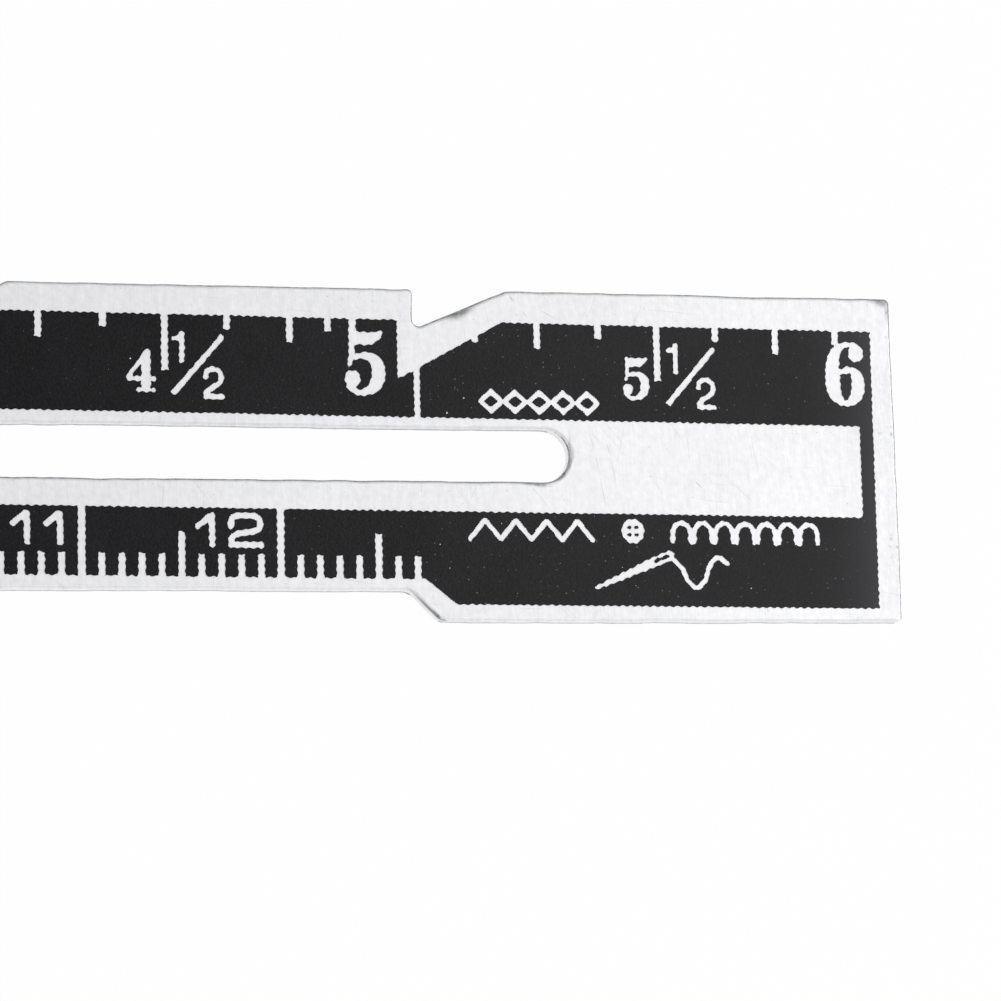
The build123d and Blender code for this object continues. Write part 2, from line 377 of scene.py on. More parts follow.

# Painted shade, mottled, where the edge has been knocked and bent over, and along edges that face
# away from the light: on the last ramp, round the slot's end and lower edge, and at a corner of the
# wide end. Then marks of painted shade on the last ramp and along the relief's slope, and single
# scratches round the wide end: the place of the middle, the turn, half the length and width, and the
# strength.
EDGE_SHADE_MM = [((129.4, 7.3), 0.42, (1.1, 0.5), 0.5), ((130.3, 7.84), 0.42, (0.9, 0.14), 0.9),
              ((127.85, -8.17), -0.785, (0.55, 0.15), 1.0),
              ((134.93, -0.45), -2.02, (0.5, 0.2), 0.6), ((134.55, -0.99), -2.37, (0.6, 0.26), 1.0),
              ((133.2, -1.48), 3.05, (1.0, 0.18), 0.9), ((135.0, 0.2), 1.57, (1.3, 0.12), 0.5),
              ((151.9, 8.28), -0.3, (0.85, 0.34), 0.65), ((152.25, 7.8), -1.5, (0.8, 0.2), 0.6)]
SCRATCHES_AND_SHADE_MM = [((129.5, 7.36), 0.42, (1.0, 0.42), 0.5),
                ((127.4, -7.77), -0.785, (1.75, 0.1), 0.9), ((128.25, -8.44), -0.3, (0.3, 0.07), 0.7),
                ((132.18, 8.11), -0.94, (0.36, 0.04), 0.5), ((132.84, 7.3), -0.81, (0.4, 0.035), 0.35),
                ((134.05, 7.31), -0.53, (0.62, 0.035), 0.4), ((136.18, 0.73), -1.32, (0.62, 0.05), 0.2),
                ((136.41, -0.37), -1.39, (0.8, 0.05), 0.25), ((136.68, -1.9), -1.4, (1.1, 0.05), 0.3),
                ((136.4, 0.92), -0.87, (0.5, 0.045), 0.2), ((137.03, 0.37), -1.29, (0.55, 0.05), 0.25),
                ((137.26, -0.79), -1.42, (0.9, 0.05), 0.25), ((141.75, -1.43), -0.8, (0.42, 0.035), 0.6)]


def uneven(tree, place, size_mm, turn=0.0, detail=2.0, low=0.3, high=0.7):
    """Random unevenness from 0 to 1, with features of the given size along each axis."""
    stretched = add(tree, "Mapping", {
        "Vector": place, "Rotation": (0, 0, turn), "Scale": [size * MM for size in size_mm]},
        vector_type="TEXTURE")
    raw = add(tree, "TexNoise", {
        "Vector": stretched.outputs["Vector"], "Scale": 1.0, "Detail": detail, "Roughness": 0.6})
    return add(tree, "MapRange", {
        "Value": raw.outputs["Fac"], "From Min": low, "From Max": high}).outputs["Result"]


def marks(tree, place, size_mm, radius_share, chosen_from, turn=0.0):
    """Soft marks of random sizes, one in each chosen cell of a random pattern of the given size."""
    stretched = add(tree, "Mapping", {
        "Vector": place, "Rotation": (0, 0, turn), "Scale": [size * MM for size in size_mm]},
        vector_type="TEXTURE")
    cells = add(tree, "TexVoronoi", {
        "Vector": stretched.outputs["Vector"], "Scale": 1.0}, voronoi_dimensions="2D")
    chance = add(tree, "SeparateColor", {"Color": cells.outputs["Color"]})
    size = add(tree, "MapRange", {
        "Value": chance.outputs["Red"], "From Min": chosen_from, "To Max": radius_share})
    return add(tree, "MapRange", {
        "Value": cells.outputs["Distance"], "From Min": size.outputs["Result"], "From Max": 0.0},
        interpolation_type="SMOOTHSTEP").outputs["Result"]


def oval_mark(tree, place, middle_mm, turn, reach_mm):
    """One soft oval mark on the front, from 1 at its middle to 0 at its rim."""
    middle = (ZERO_END + middle_mm[0] * MM, middle_mm[1] * MM, STRIP_FRONT)
    reach = (reach_mm[0] * MM, reach_mm[1] * MM, THICKNESS_MM / 2 * MM)
    oval = add(tree, "Mapping", {
        "Vector": place, "Location": middle, "Rotation": (0, 0, turn), "Scale": reach},
        vector_type="TEXTURE")
    away = add(tree, "VectorMath", {0: oval.outputs["Vector"]}, operation="LENGTH")
    return add(tree, "MapRange", {
        "Value": away.outputs["Value"], "From Min": 1.0, "From Max": 0.0},
        interpolation_type="SMOOTHSTEP").outputs["Result"]


def laid_over(tree, ground, mask, strength, hex_code):
    """A colour laid over the ground where a mask is, at the given strength."""
    share = add(tree, "Math", {0: mask, 1: strength}, operation="MULTIPLY")
    return add(tree, "Mix", {
        "Factor": share.outputs["Value"], "A": ground, "B": colour(hex_code)}, data_type="RGBA"
    ).outputs["Result"]


def satin_aluminium():
    """Mill-finished aluminium sheet: bright and satin, with short faint grain lines across the strip,
    tiny pits, hairline scratches from handling, nicks painted white as glints, painted shade at knocked
    edges and along edges that face away from the light, and soiled ends."""
    material, tree = new_material("satin_mill_aluminium")
    place = add(tree, "TexCoord").outputs["Object"]
    grain = uneven(tree, place, GRAIN_MM, turn=0.05)
    bands = uneven(tree, place, BAND_MM, turn=-0.03)
    lines = add(tree, "Mix", {"Factor": 0.4, "A": grain, "B": bands})
    blotches = uneven(tree, place, MOTTLE_MM, turn=0.4, detail=3.0)
    tone = add(tree, "Mix", {"Factor": 0.5, "A": lines.outputs["Result"], "B": blotches})
    face = add(tree, "Mix", {
        "Factor": tone.outputs["Result"], "A": colour("#e9e9ec"), "B": colour("#fdfdff")}, data_type="RGBA")
    pits = marks(tree, place, PIT_SPACING_MM, PIT_SHARE, chosen_from=0.55)
    face = laid_over(tree, face.outputs["Result"], pits, 0.5, "#8f9093")

    sway = add(tree, "TexNoise", {
        "Vector": place, "Scale": 1 / (HANDLING_MM[0] * MM), "Detail": 0.0})
    shift = add(tree, "VectorMath", {
        0: sway.outputs["Color"], "Scale": BEND_MM * MM}, operation="SCALE")
    bent = add(tree, "VectorMath", {0: place, 1: shift.outputs["Vector"]}, operation="ADD")
    bent = bent.outputs["Vector"]
    for turn in HAIRLINE_TURNS:
        hairlines = marks(tree, bent, HAIRLINE_MM, HAIRLINE_SHARE, chosen_from=0.45, turn=turn)
        face = laid_over(tree, face, hairlines, 0.25, "#a9aaae")
    # Nicks painted white as glints that catch the light.
    for turn in NICK_GLINT_TURNS:
        nick_glints = marks(tree, bent, NICK_GLINT_MM, NICK_GLINT_SHARE, chosen_from=0.8, turn=turn)
        face = laid_over(tree, face, nick_glints, 0.9, "#ffffff")

    mottle = uneven(tree, place, SOIL_MM, detail=4.0, low=0.2, high=0.6)
    # Mottled painted shade along knocked edges and along edges that face away from the light.
    for middle, turn, reach, strength in EDGE_SHADE_MM:
        edge_shade = oval_mark(tree, place, middle, turn, reach)
        patchy = add(tree, "Math", {0: edge_shade, 1: mottle}, operation="MULTIPLY")
        face = laid_over(tree, face, patchy.outputs["Value"], strength, "#6f7073")
    # Scratches, and marks of painted shade on the last ramp and along the relief's slope.
    for middle, turn, reach, strength in SCRATCHES_AND_SHADE_MM:
        face = laid_over(tree, face, oval_mark(tree, place, middle, turn, reach), strength, "#77787c")

    reach = add(tree, "SeparateXYZ", {"Vector": place})
    reach = add(tree, "Math", {0: reach.outputs["X"]}, operation="ABSOLUTE")
    ends = add(tree, "MapRange", {
        "Value": reach.outputs["Value"], "From Min": (LENGTH_MM / 2 - SOILED_MM) * MM,
        "From Max": LENGTH_MM / 2 * MM, "To Max": 0.7})
    soil = uneven(tree, place, SOIL_MM, detail=4.0, low=0.56, high=0.74)
    patches = uneven(tree, place, SOIL_PATCH_MM, detail=1.0, low=0.5, high=0.62)
    soiled = add(tree, "Math", {0: soil, 1: patches}, operation="MULTIPLY")
    face = laid_over(tree, face, soiled.outputs["Value"], ends.outputs["Result"], "#85868a")

    handled = uneven(tree, place, HANDLING_MM, detail=4.0)
    dull = add(tree, "MapRange", {"Value": handled, "To Min": 0.52, "To Max": 0.6})
    bump = add(tree, "Bump", {"Height": grain, "Strength": 0.15, "Distance": 0.004 * MM})
    shade(tree, {"Base Color": face, "Metallic": 1.0, "Roughness": dull.outputs["Result"],
                 "Normal": bump.outputs["Normal"]})
    return material


BLOTCH_MM = (0.28, 0.28, 0.28)
SCORE_MM = (0.07, 0.07, 0.9)


def sheared_aluminium():
    """The punched edge: a grey, torn and smeared strip of metal with the punch's fine lines through
    the thickness, and some spots that catch the light. Its grey also serves as painted shade on the
    outer steps of the roll and on the edges that face away from the light."""
    material, tree = new_material("sheared_aluminium")
    place = add(tree, "TexCoord").outputs["Object"]
    lines = uneven(tree, place, SCORE_MM, detail=3.0)
    blotches = uneven(tree, place, BLOTCH_MM, low=0.35, high=0.65)
    tone = add(tree, "Mix", {"Factor": 0.65, "A": lines, "B": blotches}).outputs["Result"]
    metal = add(tree, "Mix", {
        "Factor": tone, "A": colour("#717276"), "B": colour("#c4c5c8")}, data_type="RGBA")
    bump = add(tree, "Bump", {"Height": tone, "Strength": 0.7, "Distance": 0.03 * MM})
    shade(tree, {"Base Color": metal.outputs["Result"], "Metallic": 1.0, "Roughness": 0.42,
                 "Normal": bump.outputs["Normal"]})
    return material


strip = make_strip()
strip.data.materials.append(satin_aluminium())
# The darker sheared material: the torn wall, and painted shade on the outer roll and on the edges facing
# away from the light.
strip.data.materials.append(sheared_aluminium())

# Printed scales
# Black ink is squeezed through a fine screen on to the bare face, so the scales are the metal left
# between. The screen's threads leave every edge of the ink finely serrated and every corner soft.
INK_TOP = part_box("wide_end_print")[1].z
INK_SINK_MM = 0.005
PRINT_SKEW = math.radians(-0.386)
PRINT_DROP_MM = 0.08
GRID_MM = 0.05
THREAD_X_MM = 0.41
THREAD_Y_MM = 0.37
MESH_MM = 0.19
LEVEL_SERRATION_MM = 0.029
UPRIGHT_SERRATION_MM = 0.02
STAIR_MM = 0.03
RAGGED_MM = 0.018
RAGGED_SIZE_MM = 0.24
THREAD_DRIFT = 0.15
THREAD_DRIFT_SIZE_MM = 4.0
TOOTH_UNEVEN = 0.5
TOOTH_UNEVEN_SIZE_MM = 1.3

INK_START_MM = 1.2
INK_END_MM = 151.2
BAR_MM = 0.7
INCH_LOW_MM = 2.82
INCH_HIGH_MM = 7.8
CM_HIGH_MM = -1.97
CM_LOW_MM = -5.43
WIDE_LOW_MM = -6.69
STEP_INK_START_MM = 127.42
STEP_INK_END_MM = 128.97

INCH_TICK_MM = 0.35
INCH_LINE_MM = 0.31
EIGHTH_MM, QUARTER_MM, HALF_MM = 0.71, 1.3, 2.85
TICK_LENGTHS_MM = [EIGHTH_MM, QUARTER_MM, EIGHTH_MM, HALF_MM, EIGHTH_MM, QUARTER_MM, EIGHTH_MM]
TICK_SHIFTS_MM = [0.04, -0.01, 0.04, -0.03, -0.06, -0.04, 0]
LAST_TICK_SHIFTS_MM = [-0.02, 0.05, 0.09, 0.02, -0.03, 0.01, 0.07]
INCH_LINE_SHIFT_MM = 0.11
NOTCH_TICK_MM = 1.04
ODD_TICK_MM = 122.56
BORDER_WALL_MM = 0.88
BORDER_RUN_MM = 4.55
BORDER_DEPTH_MM = 3.04
CM_MM = 10.0
WHOLE_CENTIMETRES = 12
CM_SHIFT_MM = 0.075
CM_SHIFT_OVER_MM = 20.0
CM_LINE_MM = 0.37
MM_TICK_MM = 0.35
MM_TICK_LENGTH_MM = 1.15
FIVE_TICK_LENGTH_MM = 2.25

# Bold serif digits, as strokes of (x, y, half-width) in hundredths of the digit's height.
BOLD_DIGITS = {
    "1": [[(31, 86, 10), (31, 8, 10)], [(6, 80, 3), (20, 86, 5), (34, 97, 3)], [(10, 4.5, 4),
          (52, 4.5, 4)]],
    "2": [[(15, 73, 10), (15, 70, 10)], [(7, 78, 4), (12, 89, 5), (27, 96, 4), (42, 89, 9), (47, 74, 11),
          (42, 59, 9), (28, 41, 5), (13, 25, 4), (6, 10, 5)], [(8, 9, 7), (22, 12, 8), (40, 8, 8),
          (51, 13, 5), (54, 25, 2)]],
    "3": [[(15, 77, 9), (15, 75, 9)], [(14, 24, 11), (14, 22, 11)], [(8, 82, 4), (14, 92, 4), (27, 96, 4),
          (41, 88, 9), (44, 75, 10), (38, 62, 7), (24, 55, 3)], [(24, 54, 3), (40, 48, 8), (48, 36, 10),
          (49, 25, 11), (43, 12, 9), (29, 4, 4), (15, 6, 5), (7, 16, 5)]],
    "4": [[(48, 93, 4), (6, 34, 4.5)], [(48, 92.5, 3.5), (53, 92.5, 3.5)], [(49, 89, 6.5), (45, 76, 10),
          (45, 10, 10)], [(6, 30, 5.2), (63, 30, 5.2)], [(28, 5, 4.5), (61, 5, 4.5)]],
    "5": [[(12, 96, 4.5), (12, 63, 4.5), (9, 48, 3.7)], [(20, 87.2, 10), (38, 86.8, 9.7), (45, 88.5, 8),
          (51, 91.5, 6), (57, 96, 3)], [(13, 57, 3.5), (29, 60.7, 5), (43, 57, 7.5), (51, 47, 10),
          (52.5, 35, 10.5), (50.5, 23, 10), (44.5, 13, 8.5), (34, 6.5, 5.5), (22, 5, 4.5), (14, 9, 5),
          (10, 16, 7)], [(13, 26.2, 12), (13, 25.5, 12)]],
    "6": [[(50, 93, 5), (39, 95.5, 4), (29, 93.5, 4.7), (17, 82, 8.3), (12.5, 64, 10.7), (12, 42, 11.8),
          (13, 28, 11.5), (17, 16, 9.5), (24, 7.5, 6), (32, 4.2, 4.2), (41, 7.5, 6.5), (50, 19, 9.8),
          (52, 32, 10.8), (51, 45, 9.5), (44, 54.5, 6), (35, 56, 5.5), (26, 53, 4.5)], [(50, 83.5, 12),
          (50, 81, 12)]],
}

# Light one-line digits, as strokes through (x, y) in hundredths of the digit's height, as are their
# half-width and the width of the one digit that is narrow.
LIGHT_WEIGHT = 8.8
LIGHT_DIGITS = {
    "0": [[(30, 91), (70, 91), (89, 76), (91, 50), (89, 24), (70, 9), (30, 9), (11, 24), (9, 50), (11, 76),
          (30, 91)]],
    "1": [[(7, 61), (42, 90)], [(46, 91), (47, 9)]],
    "2": [[(8, 62), (11, 81), (26, 91), (76, 91), (90, 77), (89, 58), (76, 48), (33, 41), (14, 33),
          (9, 19)], [(9, 19), (9, 9)], [(9, 9), (94, 9)]],
    "3": [[(8, 74), (13, 87), (28, 91), (72, 91), (87, 81), (87, 63), (74, 53), (40, 52)], [(40, 52),
          (76, 51), (91, 40), (91, 20), (76, 9), (26, 9), (11, 15), (7, 29)]],
    "4": [[(72, 9), (72, 91)], [(72, 91), (8, 31)], [(8, 29), (95, 29)]],
    "5": [[(88, 91), (14, 91)], [(14, 91), (11, 53)], [(11, 53), (32, 58), (74, 58), (91, 45), (91, 23),
          (76, 9), (26, 9), (11, 14), (7, 26)]],
    "6": [[(87, 77), (79, 89), (62, 91), (30, 91), (13, 78), (9, 50), (11, 22), (26, 9), (76, 9), (91, 21),
          (91, 40), (76, 53), (26, 53), (10, 42)]],
    "7": [[(8, 91), (93, 91)], [(93, 91), (45, 40)], [(45, 40), (41, 9)]],
    "8": [[(30, 91), (70, 91), (85, 82), (85, 63), (70, 53), (30, 53), (15, 63), (15, 82), (30, 91)],
          [(27, 53), (73, 53), (91, 42), (91, 20), (75, 9), (25, 9), (9, 20), (9, 42), (27, 53)]],
    "9": [[(13, 23), (21, 11), (38, 9), (70, 9), (87, 22), (91, 50), (89, 78), (74, 91), (24, 91), (9, 79),
          (9, 60), (24, 47), (74, 47), (90, 58)]],
}
LIGHT_WIDTHS = {"1": 55}
LIGHT_GAP_MM = 0.66
CM_DIGIT_MM = 1.77
CM_DIGIT_LOW_MM = -3.97
CM_DIGIT_SPACE_MM = 0.85

BIG_DIGIT_MM = 3.4
BIG_DIGIT_LOW_MM = 3.86
BIG_DIGIT_SPACE_MM = 1.53
SMALL_DIGIT_MM = 2.28
SMALL_DIGIT_LOW_MM = 3.81
SMALL_DIGIT_SPACE_MM = 0.44
LAST_SMALL_DIGIT_LIFT_MM = 0.11
BOLD_WIDTHS = {"1": 56, "2": 58, "3": 60, "4": 68, "5": 62, "6": 63.5}

# The half-inch fraction, in millimetres from its tick.
FRACTION_STROKES_MM = [
    [(0.45, 6.57, 0.12), (0.75, 6.62, 0.12)], [(0.84, 6.83, 0.135), (0.84, 5.45, 0.135)],
    [(2.03, 4.64, 0.13), (2.07, 4.88, 0.13), (2.25, 5.04, 0.13), (2.50, 5.06, 0.13), (2.71, 4.93, 0.13),
     (2.81, 4.69, 0.13), (2.76, 4.41, 0.13), (2.50, 4.20, 0.13), (2.21, 4.02, 0.13), (2.05, 3.84, 0.13),
     (2.03, 3.66, 0.13)],
    [(2.03, 3.65, 0.13), (2.87, 3.65, 0.13)]]
SLASH_MM = [(0.25, 3.83), (0.47, 3.65), (3.03, 6.67), (2.81, 6.85)]
FRACTION_SHIFT_MM = 0.16

# Stitched ornaments in the wide end's spare places: three rows, a button, and a threaded needle. A
# row has its start and end, its low and high lines, and the count of what it repeats.
PEN_MM = 0.13
DIAMONDS_MM = (130.3, 136.6, 3.22, 4.22, 5)
ZIGZAG_MM = (129.7, 136.1, -3.35, -2.38, 8)
SCALLOPS_MM = (140.2, 148.1, -3.35, -2.38, 7)
DIAMOND_GAP_SHARE = 0.06
SCALLOP_GAP_SHARE = 0.08
SCALLOP_LEAN_SHARE = 0.06
SCALLOP_SHOULDER_SHARE = 0.7
BUTTON_AT_MM = (138.2, -2.87)
BUTTON_MM = 0.6
BUTTON_HOLE_MM = 0.09
BUTTON_HOLE_SPACE_MM = 0.19
NEEDLE_MM = [(136.2, -5.78, 0.09), (137.5, -5.21, 0.16), (139.2, -4.46, 0.24), (140.1, -4.06, 0.25)]
NEEDLE_EYE_MM = [(139.35, -4.39, 0.085), (140.0, -4.11, 0.085)]
THREAD_MM = [(140.2, -4.2, 0.12), (140.75, -4.75, 0.13), (141.05, -5.35, 0.13), (141.5, -5.72, 0.13),
             (141.95, -5.3, 0.13), (142.2, -4.6, 0.13), (142.65, -4.15, 0.13), (143.15, -4.45, 0.13)]

PINHOLE_COUNT = 80
PINHOLE_RADII_MM = (0.02, 0.055)
PEN_STEP_MM = 0.03
REACH_MM = 0.4
THINNING_PASSES = 3
IN_LINE_MM = 0.004
FEWEST_POINTS = 8


def near(low_x, low_y, high_x, high_y):
    """The rows and columns of the grid near a box, with the places of those rows and columns."""
    columns = slice(*np.searchsorted(grid_x, (low_x - REACH_MM, high_x + REACH_MM)))
    rows = slice(*np.searchsorted(grid_y, (low_y - REACH_MM, high_y + REACH_MM)))
    return (rows, columns), grid_x[None, columns], grid_y[rows, None]


def polygon_depth(points, x, y):
    """How far each place lies inside a polygon, below zero outside it."""
    nearest = np.full(np.broadcast(x, y).shape, np.inf)
    within = np.zeros(nearest.shape, dtype=bool)
    for (ax, ay), (bx, by) in zip(points, points[1:] + points[:1]):
        ex, ey = bx - ax, by - ay
        along = np.clip(((x - ax) * ex + (y - ay) * ey) / (ex * ex + ey * ey), 0, 1)
        nearest = np.minimum(nearest, np.hypot(x - ax - along * ex, y - ay - along * ey))
        if ay != by:
            within ^= ((ay > y) != (by > y)) & (ax + (y - ay) / ey * ex > x)
    return np.where(within, nearest, -nearest)


def through(stroke):
    """Close points along a smooth curve through (x, y, half-width) points."""
    knots = np.array(stroke)
    knots = np.vstack((2 * knots[0] - knots[1], knots, 2 * knots[-1] - knots[-2]))
    points = [knots[-2]]
    for a, b, c, d in zip(knots, knots[1:], knots[2:], knots[3:]):
        steps = max(2, math.ceil(np.linalg.norm((c - b)[:2]) / PEN_STEP_MM))
        t = np.linspace(0, 1, steps, endpoint=False)[:, None]
        points += list(b + t / 2 * (c - a + t * (2 * a - 5 * b + 4 * c - d + t * (3 * b - a - 3 * c + d))))
    return np.array(points)


def pen_window(stroke):
    """The part of the grid under a stroke, and how deep each of its places lies in the stroke."""
    points = through(stroke)
    widest = points[:, 2].max()
    low, high = points.min(axis=0) - widest, points.max(axis=0) + widest
    window, x, y = near(low[0], low[1], high[0], high[1])
    depth = np.full(np.broadcast(x, y).shape, -np.inf)
    for px, py, half_width in points:
        depth = np.maximum(depth, half_width - np.hypot(x - px, y - py))
    return window, depth


def print_polygon(points):
    """Ink over a polygon."""
    window, x, y = near(*np.min(points, axis=0), *np.max(points, axis=0))
    ink[window] = np.maximum(ink[window], polygon_depth(points, x, y))


def clear_polygon(points):
    """Bare metal over a polygon."""
    window, x, y = near(*np.min(points, axis=0), *np.max(points, axis=0))
    ink[window] = np.minimum(ink[window], -polygon_depth(points, x, y))


def print_strokes(strokes):
    """Ink along each stroke."""
    for stroke in strokes:
        window, depth = pen_window(stroke)
        ink[window] = np.maximum(ink[window], depth)


def clear_strokes(strokes):
    """Bare metal along each stroke."""
    for stroke in strokes:
        window, depth = pen_window(stroke)
        ink[window] = np.minimum(ink[window], -depth)


def corners_of(low_x, low_y, high_x, high_y):
    """A rectangle's corners."""
    return [(low_x, low_y), (high_x, low_y), (high_x, high_y), (low_x, high_y)]


def hanging_tick(place, length):
    """A bare tick down from the inch band's upper edge."""
    half = INCH_TICK_MM / 2
    clear_polygon(corners_of(place - half, INCH_HIGH_MM - length, place + half, INCH_HIGH_MM + REACH_MM))


def standing_tick(place, width, top):
    """A bare tick up from the centimetre band's lower edge."""
    clear_polygon(corners_of(place - width / 2, CM_LOW_MM - REACH_MM, place + width / 2, top))


def clear_digit(strokes, x, y, height):
    """One bare digit, whose left edge and foot stand at the given place."""
    clear_strokes([np.array(stroke) / 100 * height + (x, y, 0) for stroke in strokes])


def bold_digit(number, right, foot, height):
    """A bare serif digit that ends at the given place."""
    text = str(number)
    clear_digit(BOLD_DIGITS[text], right - BOLD_WIDTHS[text] / 100 * height, foot, height)


def light_number(number, right):
    """A bare one-line number before a centimetre line."""
    place = right
    for text in reversed(str(number)):
        place -= LIGHT_WIDTHS.get(text, 100) / 100 * CM_DIGIT_MM
        strokes = [[(x, y, LIGHT_WEIGHT) for x, y in stroke] for stroke in LIGHT_DIGITS[text]]
        clear_digit(strokes, place, CM_DIGIT_LOW_MM, CM_DIGIT_MM)
        place -= LIGHT_GAP_MM


def print_inch_scale():
    """The inch band with its ticks, notch borders, lines and numbers left bare."""
    print_polygon(corners_of(INK_START_MM, INCH_LOW_MM, INK_END_MM, INCH_HIGH_MM))
    for inch in range(WHOLE_INCHES + 1):
        start = inch * INCH_MM
        for k, length in enumerate(TICK_LENGTHS_MM):
            notched = inch > 0 and k == 0
            lean = (LAST_TICK_SHIFTS_MM if inch == WHOLE_INCHES else TICK_SHIFTS_MM)[k]
            hanging_tick(start + (k + 1) * INCH_MM / 8 + lean, NOTCH_TICK_MM if notched else length)
        middle = start + INCH_MM / 2
        left = middle + (FRACTION_SHIFT_MM if inch == WHOLE_INCHES else 0)
        clear_strokes([[(left + x, y, w) for x, y, w in stroke] for stroke in FRACTION_STROKES_MM])
        clear_polygon([(left + x, y) for x, y in SLASH_MM])
        bold_digit(inch + 1, start + INCH_MM - BIG_DIGIT_SPACE_MM, BIG_DIGIT_LOW_MM, BIG_DIGIT_MM)
        if inch == 0:
            continue
        lift = LAST_SMALL_DIGIT_LIFT_MM if inch == WHOLE_INCHES else 0
        bold_digit(inch, middle - SMALL_DIGIT_SPACE_MM, SMALL_DIGIT_LOW_MM + lift, SMALL_DIGIT_MM)
        left, right = start - BORDER_WALL_MM, start + BORDER_RUN_MM
        right += (right - left) * REACH_MM / BORDER_DEPTH_MM
        above = INCH_HIGH_MM + REACH_MM
        clear_polygon([(left, INCH_HIGH_MM - BORDER_DEPTH_MM), (right, above), (left, above)])
        line, half = start + INCH_LINE_SHIFT_MM, INCH_LINE_MM / 2
        clear_polygon(corners_of(line - half, INCH_LOW_MM - REACH_MM, line + half, INCH_HIGH_MM))
    hanging_tick(ODD_TICK_MM, EIGHTH_MM)


def print_centimetre_scale():
    """The band below the slot, wider past the relief, with its ticks and numbers left bare."""
    print_polygon([
        (INK_START_MM, CM_HIGH_MM), (INK_START_MM, CM_LOW_MM), (STEP_INK_START_MM, CM_LOW_MM),
        (STEP_INK_END_MM, WIDE_LOW_MM), (INK_END_MM, WIDE_LOW_MM), (INK_END_MM, CM_HIGH_MM)])
    for tick in range(1, int(STEP_INK_START_MM) + 1):
        place = tick + CM_SHIFT_MM * min(1, (STEP_INK_START_MM - tick) / CM_SHIFT_OVER_MM)
        if tick % 10 == 0:
            standing_tick(place, CM_LINE_MM, CM_HIGH_MM + REACH_MM)
            light_number(tick // 10, tick - CM_DIGIT_SPACE_MM)
        else:
            length = FIVE_TICK_LENGTH_MM if tick % 5 == 0 else MM_TICK_LENGTH_MM
            standing_tick(place, MM_TICK_MM, CM_LOW_MM + length)


def print_end_bars():
    """The bars of ink that join both bands at the two ends."""
    for start in (INK_START_MM, INK_END_MM - BAR_MM):
        print_polygon(corners_of(start, CM_HIGH_MM - REACH_MM, start + BAR_MM, INCH_LOW_MM + REACH_MM))


def clear_zigzag(start, stop, low, high, count):
    """A bare line of zigzag stitches."""
    pitch = (stop - start) / count
    places = [(start + pitch * k, high if k % 2 else low, PEN_MM) for k in range(count + 1)]
    clear_strokes(zip(places, places[1:]))


def clear_scallops(start, stop, low, high, count):
    """A bare line of looped stitches, as a row of small arches."""
    pitch = (stop - start) / count
    lean = SCALLOP_LEAN_SHARE * pitch
    shoulder = low + SCALLOP_SHOULDER_SHARE * (high - low)
    for k in range(count):
        left, right = start + pitch * (k + SCALLOP_GAP_SHARE), start + pitch * (k + 1 - SCALLOP_GAP_SHARE)
        arch = [(left, low), (left + lean, shoulder), ((left + right) / 2, high),
                (right - lean, shoulder), (right, low)]
        clear_strokes([[(x, y, PEN_MM) for x, y in arch]])


def clear_diamonds(start, stop, low, high, count):
    """A bare row of small diamonds, side by side."""
    pitch = (stop - start) / count
    level = (low + high) / 2
    for k in range(count):
        left, right = start + pitch * (k + DIAMOND_GAP_SHARE), start + pitch * (k + 1 - DIAMOND_GAP_SHARE)
        middle = (left + right) / 2
        tips = [(left, level), (middle, high), (right, level), (middle, low)]
        tips = [(x, y, PEN_MM) for x, y in tips]
        clear_strokes(zip(tips, tips[1:] + tips[:1]))


def clear_button(x, y):
    """A bare button with four holes."""
    clear_strokes([[(x, y, BUTTON_MM), (x, y + GRID_MM, BUTTON_MM)]])
    for dx in (-BUTTON_HOLE_SPACE_MM, BUTTON_HOLE_SPACE_MM):
        for dy in (-BUTTON_HOLE_SPACE_MM, BUTTON_HOLE_SPACE_MM):
            print_strokes([[(x + dx, y + dy, BUTTON_HOLE_MM), (x + dx, y + dy + GRID_MM, BUTTON_HOLE_MM)]])


def clear_needle():
    """A bare needle with a thread through its eye."""
    clear_strokes([NEEDLE_MM, THREAD_MM])
    print_strokes([NEEDLE_EYE_MM])


def print_motifs():
    """The wide end's small stitched ornaments."""
    clear_diamonds(*DIAMONDS_MM)
    clear_zigzag(*ZIGZAG_MM)
    clear_button(*BUTTON_AT_MM)
    clear_scallops(*SCALLOPS_MM)
    clear_needle()


def cloud(size_mm, seed):
    """Smooth random values from -1 to 1 over the grid, with features of the given size."""
    counts = [math.ceil(n * GRID_MM / size_mm) + 2 for n in ink.shape]
    knots = np.random.default_rng(seed).uniform(-1, 1, counts)
    for axis, n in enumerate(ink.shape):
        place = np.arange(n) * GRID_MM / size_mm
        cell = place.astype(int)
        share = (place - cell) ** 2 * (3 - 2 * (place - cell))
        share = share[:, None] if axis == 0 else share[None, :]
        knots = knots.take(cell, axis) * (1 - share) + knots.take(cell + 1, axis) * share
    return knots


def soften():
    """Rounds the ink's corners, as the paste does before it sets."""
    for axis in (0, 1):
        ink[:] = (2 * ink + np.roll(ink, 1, axis) + np.roll(ink, -1, axis)) / 4


